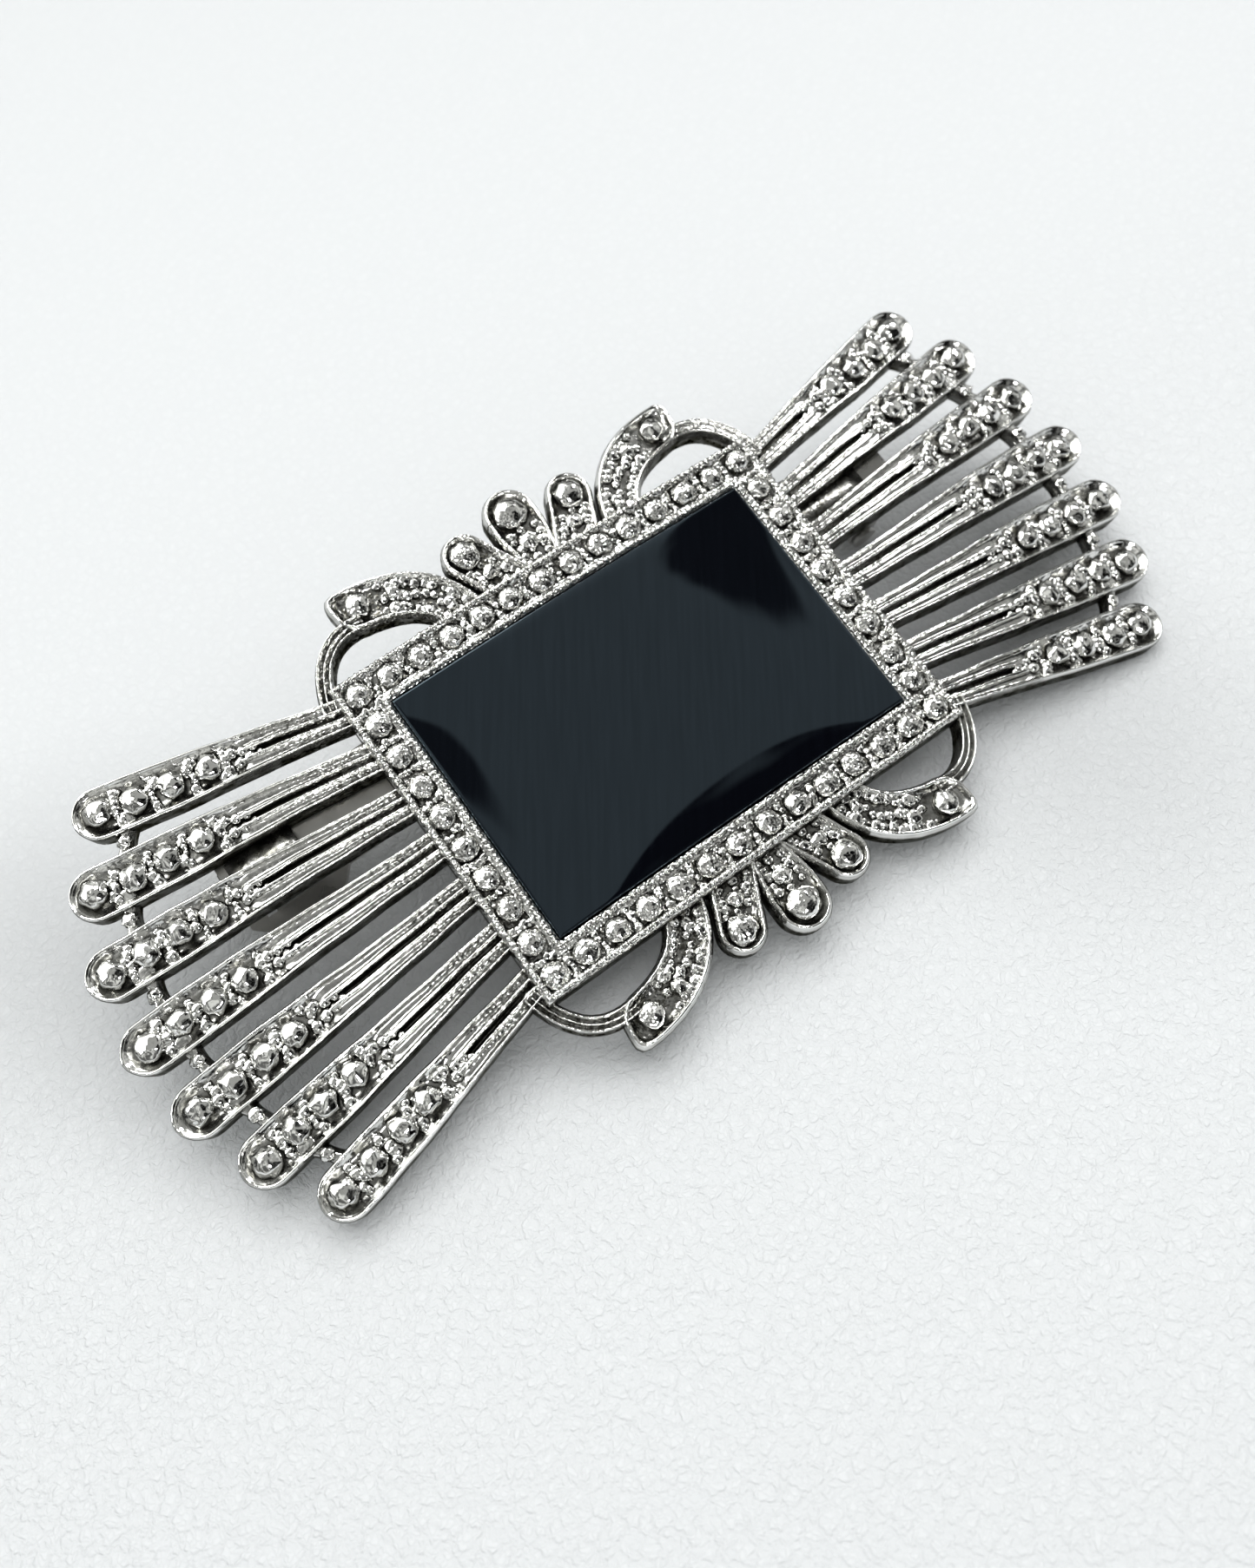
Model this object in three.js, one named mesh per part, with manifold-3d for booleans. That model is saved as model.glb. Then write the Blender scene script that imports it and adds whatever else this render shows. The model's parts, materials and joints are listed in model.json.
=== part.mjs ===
// A hair barrette: an openwork cast ornament with a black inlaid panel, carried on a steel French clip.
// Millimetres. +X runs along the length, +Y across it, +Z out of the decorated face.
// The origin is the middle of the ornament's back, on the ground-off stub where the metal was poured.
// The ornament and the clip arch gently along X: shapes are drawn flat and then bent round one circle.
import * as THREE from "three";
import { mergeVertices } from "three/addons/utils/BufferGeometryUtils.js";
import Module from "manifold-3d";

const wasm = await Module();
wasm.setup();

// ---- driving dimensions ----
const LENGTH = 100.4; // tip of one fan to tip of the other, measured along the arch
const ARCH_RADIUS = 300; // of the back of the ornament
const PANEL = { x: 35.2, y: 23.8, thick: 1.3, dome: 0.5 };
const FRAME = { x: 42.8, y: 31.6, top: 2.8, edge: 0.5, channel: 2.7, depth: 0.4 };
const FLOOR_TOP = 1.1; // the floor that the panel lies on, above the back
const RELIEF = 2; // top of the ribs and crests
const CLIP_Y = 8.2; // the clip sits above the middle, so that the ornament hangs level
const CLIP_LENGTH = 70;
const GAP = 0.15; // between fixed neighbours
const FIT = 0.07; // radial clearance of the hinge pin

// ---- derived dimensions ----
const FRAME_HALF = { x: FRAME.x / 2, y: FRAME.y / 2 };
const PANEL_GAP = 0.15;
const BEAD = { r: 1.1, inset: FRAME.edge + FRAME.channel / 2, longSide: 14, shortSide: 10, pitch: 3.05 };
const STUB = 3; // radius of the flat stub in the hollow of the back
const RIB = { pitch: 4.5, root: 1.35, tip: 2.05, fanPoint: 60, perSide: 3 };
const TIP_ARC = { x: 20, r: LENGTH / 2 - 20 - RIB.tip }; // the ribs' tip centres lie on this circle
const STRUT_ARC = { r: TIP_ARC.r - 2.2, width: 1.4, top: 1.3, spread: 0.72 };
const BASE = { width: 6, thick: 0.8, top: -GAP };
const BASE_UNDER = BASE.top - BASE.thick;
const ARM = { top: -7.8, thick: 0.8, width: 4.4, middle: 5.6, loop: 9, window: 5.5, windowLength: 6.8 };
const HINGE = { x: 31.5, z: -8.1, knuckle: 1.5, pin: 0.75, ear: 0.7, head: 1.2, headThick: 0.4 };
const EAR_INNER = ARM.width / 2 + GAP;
const CATCH = { x: -33, length: 7, width: 4.2, thick: 0.4, tab: 5 };
const SPRING = { from: 27.2, rivet: 25, flat: 22.8, to: -27, width: 3.6, thick: 0.35, anchor: 0.15 };
const SPRING_DROP = { end: 1.2, bow: 0.6 }; // of the free end, and of the bow's middle below that
const RIVET = { shank: 0.8, head: 1.35, headThick: 0.45 };
const ROUND = 20; // facets on a small round piece
const FRAME_CUTS = 8; // flats along the frame's arch

// ---- bending and solids ----
// Moves every vertex by a rule that changes the vector it is given.
function warp(geometry, rule) {
  const at = geometry.getAttribute("position");
  const v = new THREE.Vector3();
  for (let i = 0; i < at.count; i++) {
    v.fromBufferAttribute(at, i);
    rule(v);
    at.setXYZ(i, v.x, v.y, v.z);
  }
  return geometry;
}

// Bends a flat shape round the arch: distances along X are kept at z = 0.
function bend(geometry) {
  return warp(geometry, (v) => {
    const angle = v.x / ARCH_RADIUS;
    const r = ARCH_RADIUS + v.z;
    v.x = r * Math.sin(angle);
    v.z = r * Math.cos(angle) - ARCH_RADIUS;
  });
}

// Carries a shape drawn about X = 0 to a place along the arch without bending it.
function carry(geometry, x) {
  const angle = x / ARCH_RADIUS;
  geometry.rotateY(angle);
  return geometry.translate(ARCH_RADIUS * Math.sin(angle), 0, ARCH_RADIUS * (Math.cos(angle) - 1));
}

function solid(geometry) {
  const bare = geometry.index ? geometry.toNonIndexed() : geometry.clone();
  bare.deleteAttribute("normal");
  bare.deleteAttribute("uv");
  const merged = mergeVertices(bare, 1e-4);
  return new wasm.Manifold(
    new wasm.Mesh({
      numProp: 3,
      vertProperties: merged.getAttribute("position").array,
      triVerts: new Uint32Array(merged.index.array),
    }),
  );
}

function geometryOf(made) {
  const mesh = made.getMesh();
  const g = new THREE.BufferGeometry();
  g.setAttribute("position", new THREE.BufferAttribute(mesh.vertProperties, 3));
  g.setIndex(new THREE.BufferAttribute(mesh.triVerts, 1));
  return g;
}

const at = (x, y) => new THREE.Vector2(x, y);
const join = (...solids) => solids.reduce((a, b) => a.add(b));

// A box between two corners, with cuts along X so that it can bend.
function slab(x0, x1, y0, y1, z0, z1, cuts = 1) {
  const g = new THREE.BoxGeometry(x1 - x0, y1 - y0, z1 - z0, cuts, 1, 1);
  return g.translate((x0 + x1) / 2, (y0 + y1) / 2, (z0 + z1) / 2);
}

// A cylinder along Y about a point on X = 0.
function rodY(r, length, y, z) {
  return new THREE.CylinderGeometry(r, r, length, ROUND).translate(0, y, z);
}

// A cylinder along Z between two heights.
function rodZ(r, z0, z1, x = 0, y = 0) {
  const g = new THREE.CylinderGeometry(r, r, z1 - z0, ROUND);
  return g.rotateX(Math.PI / 2).translate(x, y, (z0 + z1) / 2);
}

function plate(shape, z0, z1, curveSegments = 6) {
  const g = new THREE.ExtrudeGeometry(shape, { depth: z1 - z0, bevelEnabled: false, curveSegments });
  return g.translate(0, 0, z0);
}

// ---- ornament ----
// A cast bead: the top of a low-faceted ball standing on a face at height z.
function bead(x, y, z, r) {
  const sink = 0.25;
  const facets = new THREE.SphereGeometry(r, 6, 4).rotateX(Math.PI / 2);
  return solid(carry(facets.translate(0, y, z - sink), x));
}

// The middle line of rib i (0 is the middle rib): where it leaves the frame, its direction, and its tip.
function ribLine(i) {
  const root = new THREE.Vector2(FRAME_HALF.x, i * RIB.pitch);
  const along = new THREE.Vector2(RIB.fanPoint, root.y).normalize();
  const from = root.clone().sub(new THREE.Vector2(TIP_ARC.x, 0));
  const b = from.dot(along);
  const length = -b + Math.sqrt(b * b - from.lengthSq() + TIP_ARC.r * TIP_ARC.r);
  return { root, along, length };
}

// One finger of a fan: it widens from root to tip, ends in a half circle, and carries four beads.
function rib(i) {
  const { root, along, length } = ribLine(i);
  const across = new THREE.Vector2(-along.y, along.x);
  const inside = 1.5; // how far it reaches into the frame
  const steps = 12;
  const nose = 0.3; // the share of the steps that draws the half circle
  const g = new THREE.BoxGeometry(1, 1, RELIEF, steps, 2, 1).translate(0.5, 0, RELIEF / 2);
  warp(g, (v) => {
    const straight = Math.min(1, v.x / (1 - nose));
    const turn = Math.max(0, (v.x - 1 + nose) / nose) * (Math.PI / 2);
    const s = -inside + (length + inside) * straight + RIB.tip * Math.sin(turn);
    const share = THREE.MathUtils.clamp(s / length, 0, 1);
    const blunt = 0.25; // keeps the very tip from closing to a point
    const taper = THREE.MathUtils.lerp(RIB.root, RIB.tip, share);
    const half = turn > 0 ? Math.max(RIB.tip * Math.cos(turn), blunt) : taper;
    const t = v.y * 2 * half;
    v.x = root.x + along.x * s + across.x * t;
    v.y = root.y + along.y * s + across.y * t;
  });
  let made = solid(bend(g));
  for (let k = 0; k < 4; k++) {
    const s = length - k * BEAD.pitch;
    made = made.add(bead(root.x + along.x * s, root.y + along.y * s, RELIEF, BEAD.r - 0.05 * k));
  }
  return made;
}

// The thin struts that tie the fingers of a fan together, as one arc.
function struts() {
  const { r, width, spread, top } = STRUT_ARC;
  const shape = new THREE.Shape();
  shape.absarc(TIP_ARC.x, 0, r + width / 2, -spread, spread, false);
  shape.absarc(TIP_ARC.x, 0, r - width / 2, spread, -spread, true);
  return solid(bend(plate(shape, 0, top, 18)));
}

function fan() {
  let made = struts();
  for (let i = -RIB.perSide; i <= RIB.perSide; i++) made = made.add(rib(i));
  return made;
}

// A petal: a round head on a body that narrows to the frame.
function petal(headX, headY, headR, footX, footHalf) {
  const foot = FRAME_HALF.y - 1;
  const lean = Math.atan2(headX - footX, headY - foot);
  const side = new THREE.Vector2(Math.cos(lean), -Math.sin(lean));
  const shape = new THREE.Shape();
  shape.moveTo(footX - footHalf, foot);
  shape.lineTo(footX + footHalf, foot);
  shape.lineTo(headX + side.x * headR, headY + side.y * headR);
  shape.absarc(headX, headY, headR, -lean, Math.PI - lean, false);
  return plate(shape, 0, RELIEF, 8);
}

// A band of changing width along a curve, with a half circle at its far end.
function ribbon(curve, halfFrom, halfTo, steps, top) {
  const left = [];
  const right = [];
  for (let i = 0; i <= steps; i++) {
    const u = i / steps;
    const p = curve.getPoint(u);
    const d = curve.getTangent(u);
    const half = THREE.MathUtils.lerp(halfFrom, halfTo, u);
    left.push(new THREE.Vector2(p.x - d.y * half, p.y + d.x * half));
    right.push(new THREE.Vector2(p.x + d.y * half, p.y - d.x * half));
  }
  const end = curve.getPoint(1);
  const heading = Math.atan2(curve.getTangent(1).y, curve.getTangent(1).x);
  const cap = [1, 2, 3].map((k) => {
    const a = heading + Math.PI / 2 - (k * Math.PI) / 4;
    return new THREE.Vector2(end.x + Math.cos(a) * halfTo, end.y + Math.sin(a) * halfTo);
  });
  const shape = new THREE.Shape([...left, ...cap, ...right.reverse()]);
  return plate(shape, 0, top);
}

// Half of one crest: the leaf that curls out of the frame and the loop that ties its tip to the corner.
function leafAndLoop() {
  const y = FRAME_HALF.y;
  const leaf = new THREE.QuadraticBezierCurve(at(7.3, y - 0.6), at(10.0, y + 4.6), at(15.5, y + 5.1));
  const loop = new THREE.QuadraticBezierCurve(at(15.0, y + 3.6), at(20.6, y + 4.4), at(22.1, y - 1.4));
  return [ribbon(leaf, 1.35, 1.85, 8, RELIEF), ribbon(loop, 0.8, 0.8, 8, RELIEF - 0.3)];
}

function crest() {
  const y = FRAME_HALF.y;
  const pieces = [petal(0, y + 5.1, 2.1, 0, 1.2), petal(5.3, y + 3.9, 1.75, 3.4, 1.7), ...leafAndLoop()];
  const beads = [bead(0, y + 5, RELIEF, 1.2), bead(5.3, y + 3.9, RELIEF, 1.1)];
  beads.push(bead(15.2, y + 5.1, RELIEF, 1.1), bead(12, y + 4, RELIEF, 0.95));
  const right = join(...pieces.map((g) => solid(bend(g))), ...beads);
  return right.add(right.mirror([1, 0, 0]));
}

// A row of beads between two points on the frame, both ends included.
function beadRow(from, to, count) {
  const beads = [];
  for (let i = 0; i < count; i++) {
    const p = from.clone().lerp(to, i / (count - 1));
    beads.push(bead(p.x, p.y, FRAME.top - FRAME.depth, BEAD.r));
  }
  return beads;
}

function frameBeads() {
  const x = FRAME_HALF.x - BEAD.inset;
  const y = FRAME_HALF.y - BEAD.inset;
  const beads = [];
  for (const side of [-1, 1]) {
    beads.push(...beadRow(at(-x, side * y), at(x, side * y), BEAD.longSide));
    const column = beadRow(at(side * x, -y), at(side * x, y), BEAD.shortSide);
    beads.push(...column.slice(1, -1));
  }
  return join(...beads);
}

// A rectangular ring cut into the frame's face for the beads to stand in.
function channel() {
  const { edge, channel: width, depth, top } = FRAME;
  const ring = (inset, z0) => {
    const x = FRAME_HALF.x - inset;
    const y = FRAME_HALF.y - inset;
    return solid(bend(slab(-x, x, -y, y, z0, top + 1, FRAME_CUTS)));
  };
  return ring(edge, top - depth).subtract(ring(edge + width, top - depth - 1));
}

// The frame, with the recess that the panel lies in and a shallow hollow in its back.
function frame() {
  const { x, y } = FRAME_HALF;
  const hollow = 0.5;
  const wall = 2.2;
  const block = solid(bend(slab(-x, x, -y, y, 0, FRAME.top, FRAME_CUTS)));
  const px = PANEL.x / 2 + PANEL_GAP;
  const py = PANEL.y / 2 + PANEL_GAP;
  const recess = solid(bend(slab(-px, px, -py, py, FLOOR_TOP, FRAME.top + 2, FRAME_CUTS)));
  const back = solid(bend(slab(wall - x, x - wall, wall - y, y - wall, -2, hollow, FRAME_CUTS)));
  const stub = solid(rodZ(STUB, 0, hollow + 0.2));
  return block.subtract(recess).subtract(channel()).subtract(back).add(stub).add(frameBeads());
}

// The webs that the clip is soldered to: one fills the inner end of a slot, one bridges the other slot.
const SEAT = { hingeEnd: 29.3, catchFrom: -36, catchTo: -30, middle: 7, half: 1.8, top: 0.9 };

function seats() {
  const { hingeEnd, catchFrom, catchTo, middle, half, top } = SEAT;
  const low = middle - half;
  const high = middle + half;
  const inner = solid(slab(FRAME_HALF.x - 1, hingeEnd, low, high, 0, top, 3));
  const scoop = solid(rodZ(half - 0.4, -1, top + 1, hingeEnd + 0.6, middle));
  const outer = slab(catchFrom, catchTo, low, high, 0, top, 3);
  return join(solid(bend(geometryOf(inner.subtract(scoop)))), solid(bend(outer)));
}

function ornament() {
  const right = fan();
  const top = crest();
  return join(frame(), right, right.mirror([1, 0, 0]), top, top.mirror([0, 1, 0]), seats());
}

// The panel: flat sided, with a low cushion-shaped face that follows the arch.
function panel() {
  const g = new THREE.BoxGeometry(PANEL.x, PANEL.y, PANEL.thick, 12, 8, 1);
  warp(g, (v) => {
    const u = (2 * v.x) / PANEL.x;
    const w = (2 * v.y) / PANEL.y;
    if (v.z > 0) v.z += PANEL.dome * (1 - u ** 4) * (1 - w ** 4);
  });
  g.translate(0, 0, FLOOR_TOP + GAP + PANEL.thick / 2);
  return bend(g);
}

// ---- clip, drawn about its own middle line ----
// A strip whose half width changes along X.
function strip(x0, x1, z0, z1, cuts, halfAt) {
  return warp(slab(x0, x1, -1, 1, z0, z1, cuts), (v) => (v.y *= halfAt(v.x)));
}

function clipBase() {
  const x1 = HINGE.x + 1.6;
  const x0 = x1 - CLIP_LENGTH;
  const half = BASE.width / 2;
  const narrowEnd = (x) => (x < x0 + 1.5 ? half - 0.8 : half);
  const bar = solid(bend(strip(x0, x1, BASE_UNDER, BASE.top, 28, narrowEnd)));
  const ears = [-1, 1].map((side) => {
    const y = side * (EAR_INNER + HINGE.ear / 2);
    const w = HINGE.knuckle;
    const stem = slab(-w, w, y - HINGE.ear / 2, y + HINGE.ear / 2, HINGE.z, BASE.top - 0.2);
    const disc = rodY(w, HINGE.ear, y, HINGE.z);
    return solid(carry(stem, HINGE.x)).add(solid(carry(disc, HINGE.x)));
  });
  const holes = [
    carry(rodY(HINGE.pin + FIT, BASE.width + 2, 0, HINGE.z), HINGE.x),
    ...[CATCH.x, SPRING.rivet].map((x) => carry(rodZ(RIVET.shank + FIT, -3, 1), x)),
  ];
  return geometryOf(holes.reduce((made, hole) => made.subtract(solid(hole)), join(bar, ...ears)));
}

function hingePin() {
  const shaft = EAR_INNER + HINGE.ear + GAP;
  const end = shaft + HINGE.headThick;
  const profile = [at(0, -end), at(HINGE.head, -end), at(HINGE.head, -shaft), at(HINGE.pin, -shaft)];
  profile.push(at(HINGE.pin, shaft), at(HINGE.head, shaft), at(HINGE.head, end), at(0, end));
  return carry(new THREE.LatheGeometry(profile, ROUND).translate(0, 0, HINGE.z), HINGE.x);
}

// The swinging arm: rolled round the pin at one end, with a window for the catch at the other.
function clipArm() {
  const windowTo = CATCH.x + ARM.windowLength / 2;
  const windowFrom = CATCH.x - ARM.windowLength / 2;
  const end = windowFrom - 1.8;
  const shoulder = windowTo + 1.6;
  const { mapLinear } = THREE.MathUtils;
  const halfAt = (x) => {
    if (x < windowFrom) return ARM.loop / 2 - 0.9 * (windowFrom - x);
    if (x < shoulder) return mapLinear(x, windowTo, shoulder, ARM.loop, ARM.middle) / 2;
    return mapLinear(x, shoulder, HINGE.x, ARM.middle, ARM.width) / 2;
  };
  const under = ARM.top - ARM.thick;
  const pieces = [
    strip(end, windowFrom, under, ARM.top, 2, halfAt),
    strip(windowFrom, windowTo, under, ARM.top, 3, () => ARM.loop / 2),
    strip(windowTo, shoulder, under, ARM.top, 1, halfAt),
    strip(shoulder, HINGE.x - 0.9, under, ARM.top, 20, halfAt),
  ];
  const knuckle = solid(carry(rodY(HINGE.knuckle, ARM.width, 0, HINGE.z), HINGE.x));
  const bore = solid(carry(rodY(HINGE.pin + FIT, ARM.width + 2, 0, HINGE.z), HINGE.x));
  const half = ARM.windowLength / 2;
  const window = slab(-half, half, -ARM.window / 2, ARM.window / 2, under - 1, ARM.top + 1);
  const made = join(...pieces.map((g) => solid(bend(g))), knuckle);
  return geometryOf(made.subtract(solid(carry(window, CATCH.x))).subtract(bore));
}

// The tension spring: a thin strip, flat where it is riveted and then bowed down towards the arm.
function tensionSpring() {
  const { from, flat, to, width, thick, anchor } = SPRING;
  const top = BASE_UNDER - anchor;
  const g = slab(to, from, -width / 2, width / 2, top - thick, top, 30);
  warp(g, (v) => {
    const u = Math.max(0, (flat - v.x) / (flat - to));
    v.z -= SPRING_DROP.end * u + SPRING_DROP.bow * Math.sin(Math.PI * u) ** 2;
    if (u > 0.9) v.y *= 1 - 4 * (u - 0.9);
  });
  const hole = carry(rodZ(RIVET.shank + FIT, -3, 1), SPRING.rivet);
  return geometryOf(solid(bend(g)).subtract(solid(hole)));
}

function catchPlate() {
  const top = BASE_UNDER - GAP;
  const half = CATCH.length / 2;
  const g = slab(-half, half, -CATCH.width / 2, CATCH.width / 2, top - CATCH.thick, top);
  const hole = solid(rodZ(RIVET.shank + FIT, -3, 0));
  return carry(geometryOf(solid(g).subtract(hole)), CATCH.x);
}

// A rivet through the base, with its head under the piece it holds.
function rivet(x, underside) {
  const head = underside - GAP;
  const end = head - RIVET.headThick;
  const profile = [at(0, end), at(RIVET.shank, end), at(RIVET.head, head - 0.15), at(RIVET.head, head)];
  profile.push(at(RIVET.shank, head), at(RIVET.shank, BASE.top - 0.05), at(0, BASE.top - 0.05));
  return carry(new THREE.LatheGeometry(profile, ROUND).rotateX(Math.PI / 2), x);
}

// One squeeze tab of the catch: it drops through the arm's window, swells into a barb and curls in.
function catchTab() {
  const root = BASE_UNDER - GAP - CATCH.thick - GAP;
  const under = ARM.top - ARM.thick;
  const barb = ARM.window / 2 - GAP;
  const half = CATCH.width / 2;
  const outer = [at(half, root), at(half, ARM.top + 0.6), at(barb, under - 0.3), at(barb, under - 0.9)];
  outer.push(at(barb - 0.5, under - 1.5), at(barb - 0.7, under - 2.2));
  const inner = outer.map((p) => at(p.x - CATCH.thick, p.y)).reverse();
  const g = new THREE.ExtrudeGeometry(new THREE.Shape([...outer, ...inner]), {
    depth: CATCH.tab,
    bevelEnabled: false,
  });
  // The profile is drawn in Y and Z and pulled along X.
  g.applyMatrix4(new THREE.Matrix4().set(0, 0, 1, -CATCH.tab / 2, 1, 0, 0, 0, 0, 1, 0, 0, 0, 0, 0, 1));
  return g;
}

// A lump of solder beside the clip, drawn as a squashed ball.
function solder(length, width, height, x, y, z) {
  const g = new THREE.SphereGeometry(0.5, 12, 8);
  return carry(g.scale(length, width, height).translate(0, y, z), x);
}

// ---- the assembly ----
const silver = { color: 0xc9cac8, roughness: 0.22, metalness: 1 };
const steel = { color: 0xb4b5b4, roughness: 0.3, metalness: 1 };
const black = { color: 0x07080b, roughness: 0.06, metalness: 0 };
const solderGrey = { color: 0x7d7c78, roughness: 0.55, metalness: 1 };

function part(name, geometry, look) {
  geometry.computeVertexNormals();
  const mesh = new THREE.Mesh(geometry, new THREE.MeshStandardMaterial(look));
  mesh.name = name;
  return mesh;
}

const clip = new THREE.Group();
clip.position.y = CLIP_Y;
clip.add(part("clip_base", clipBase(), steel));
clip.add(part("clip_arm", clipArm(), steel));
clip.add(part("hinge_pin", hingePin(), steel));
clip.add(part("tension_spring", tensionSpring(), steel));
clip.add(part("spring_rivet", rivet(SPRING.rivet, BASE_UNDER - SPRING.anchor - SPRING.thick), steel));
clip.add(part("catch_plate", catchPlate(), steel));
clip.add(part("catch_rivet", rivet(CATCH.x, BASE_UNDER - GAP - CATCH.thick), steel));
clip.add(part("catch_tab_back", carry(catchTab(), CATCH.x), steel));
clip.add(part("catch_tab_front", carry(catchTab().rotateZ(Math.PI), CATCH.x), steel));

const barrette = new THREE.Group();
barrette.add(part("ornament_casting", geometryOf(ornament()), silver));
barrette.add(part("black_panel", panel(), black));
const beside = CLIP_Y - BASE.width / 2 - 0.7;
barrette.add(part("solder_catch_end", solder(5.4, 1, 0.8, -28, beside, -0.6), solderGrey));
barrette.add(part("solder_hinge_end", solder(6.2, 1, 0.8, 25.6, beside, -0.6), solderGrey));
barrette.add(clip);

export default barrette;
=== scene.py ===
"""Looks for a silver-tone barrette with a black panel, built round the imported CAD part.

Shapes are drawn flat in millimetres, in the part's own frame, and then bent round the arch of the clip.
"""

import json
import math

import bmesh
import bpy
import numpy as np
from mathutils import Matrix, Vector, noise

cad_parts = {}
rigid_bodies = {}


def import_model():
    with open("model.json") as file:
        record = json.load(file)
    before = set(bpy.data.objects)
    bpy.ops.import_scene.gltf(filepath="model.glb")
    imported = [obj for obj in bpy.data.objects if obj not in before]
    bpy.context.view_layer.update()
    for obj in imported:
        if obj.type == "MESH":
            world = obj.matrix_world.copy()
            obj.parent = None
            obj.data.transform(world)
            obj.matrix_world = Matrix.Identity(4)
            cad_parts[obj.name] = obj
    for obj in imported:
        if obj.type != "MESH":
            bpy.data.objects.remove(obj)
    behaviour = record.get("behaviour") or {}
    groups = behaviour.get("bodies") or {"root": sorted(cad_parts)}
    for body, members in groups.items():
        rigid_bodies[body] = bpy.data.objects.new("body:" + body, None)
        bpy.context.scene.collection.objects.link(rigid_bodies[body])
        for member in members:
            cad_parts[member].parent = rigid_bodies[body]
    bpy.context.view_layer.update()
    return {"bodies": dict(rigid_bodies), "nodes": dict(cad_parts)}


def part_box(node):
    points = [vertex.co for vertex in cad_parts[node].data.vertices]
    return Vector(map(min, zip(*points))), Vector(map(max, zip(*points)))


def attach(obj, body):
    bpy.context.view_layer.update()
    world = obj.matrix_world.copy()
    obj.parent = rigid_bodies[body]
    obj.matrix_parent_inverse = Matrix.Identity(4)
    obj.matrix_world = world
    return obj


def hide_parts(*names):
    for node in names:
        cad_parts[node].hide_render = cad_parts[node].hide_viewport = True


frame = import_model()

MM = 0.001


def box_mm(node):
    """The lowest and highest corner of a CAD node in millimetres."""
    low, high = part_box(node)
    return np.array(low) / MM, np.array(high) / MM


# ---- driving dimensions, in millimetres ----
ARCH_RADIUS = 300.0
CASTING_HIGH = box_mm("ornament_casting")[1]
PANEL_HIGH = box_mm("black_panel")[1]
BASE_LOW = box_mm("clip_base")[0]
PIN_LOW, PIN_HIGH = box_mm("hinge_pin")
TAB_LOW, TAB_HIGH = box_mm("catch_tab_front")


def flat_x(bent_x, height):
    """How far along the arch a point at this height was before the bend, to a hundredth."""
    return round(ARCH_RADIUS * math.asin(bent_x / (ARCH_RADIUS + height)), 2)


RELIEF = 2.0  # the ribs' and crests' rims above the back
RECESS = 0.75  # how deep ribs and crests are hollowed below their rims
FLOOR = RELIEF - RECESS
EDGE_ROUND = 0.18  # how far in the outer edges of ribs and crests are rounded off
EDGE_DROP = 0.3  # and how far down
HALF_LENGTH = flat_x(CASTING_HIGH[0], RELIEF)
PANEL_EDGE = 2.55  # height of the panel's upper edges
PANEL_UNDER = 1.25
PANEL_DOME = 0.55
PANEL_X = flat_x(PANEL_HIGH[0], PANEL_EDGE)
PANEL_Y = PANEL_HIGH[1]
FRAME_TOP = 2.8
FRAME_X = PANEL_X + 3.8
FRAME_Y = PANEL_Y + 3.9
BEAD = 1.1  # radius of a large bead
BEAD_PITCH = 3.05
BEADS_ON_RIB = 4
RIB_TIP = 2.05  # half widths of a rib
RIB_ROOT = 1.35
RIB_PITCH = 4.5
OUTER_RIB = 3  # the ribs of a fan are numbered from minus this to plus this
FAN_POINT = 60.0  # the ribs' middle lines meet this far behind their roots
TIP_CENTRE = 20.0  # the ribs' tips lie on a circle round this point of the X axis
SLOT_Y = 7.0  # the middle of the slots whose ends are filled for the clip
SEAT_HALF = 1.8
SEAT_TOP = 0.9
HINGE_SEAT_END = 29.2
CATCH_SEAT = (-36, -30)
ARM_SWING = math.radians(95)
FLOOR_DROP = 75  # how far the floor moves away when the arm is open


# ---- small numeric helpers ----
def smoothstep(low, high, value):
    """0 below low, 1 above high and a smooth rise between them."""
    t = np.clip((np.asarray(value) - low) / (high - low), 0, 1)
    return t * t * (3 - 2 * t)


def ridge(distance, at, width):
    """A rounded ridge of height 1 at one distance, falling to 0 about 2 widths away."""
    return np.exp(-(((distance - at) / width) ** 2))


def bend(points):
    """Bends flat points round the arch; distances along X are kept at z = 0."""
    angle = points[:, 0] / ARCH_RADIUS
    radius = ARCH_RADIUS + points[:, 2]
    bent = points.copy()
    bent[:, 0] = radius * np.sin(angle)
    bent[:, 2] = radius * np.cos(angle) - ARCH_RADIUS
    return bent


def wander(points, amount, scale, seed):
    """Moves points a little by a smooth noise, as hand-finished wax moves."""
    shift = [noise.noise_vector(Vector(p) * scale + Vector((seed, 0, 0))) for p in points]
    return points + amount * np.array(shift)


class Shells:
    """Closed shells, gathered as lists of points and faces, that become one mesh."""

    def __init__(self):
        self.points = []
        self.faces = []
        self.count = 0

    def add(self, points, faces):
        """Takes in one more set of points, and faces that count from its first point."""
        self.points.append(np.asarray(points, float))
        self.faces += [tuple(i + self.count for i in face) for face in faces]
        self.count += len(points)

    def mirror(self, axis):
        """Adds the mirror images of all shells across X = 0 (axis 0) or Y = 0 (axis 1)."""
        flipped = np.vstack(self.points)
        flipped[:, axis] *= -1
        self.add(flipped, [face[::-1] for face in self.faces])

    def extend(self, other):
        """Takes in all the shells of another set."""
        self.add(np.vstack(other.points), other.faces)


def grid_faces(rows, columns, wrap=False):
    """Quads between consecutive rows of points; wrap joins the last column to the first."""
    faces = []
    last = columns if wrap else columns - 1
    for here in range(0, (rows - 1) * columns, columns):
        there = here + columns
        for c in range(last):
            d = (c + 1) % columns
            faces.append((here + c, here + d, there + d, there + c))
    return faces


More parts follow.
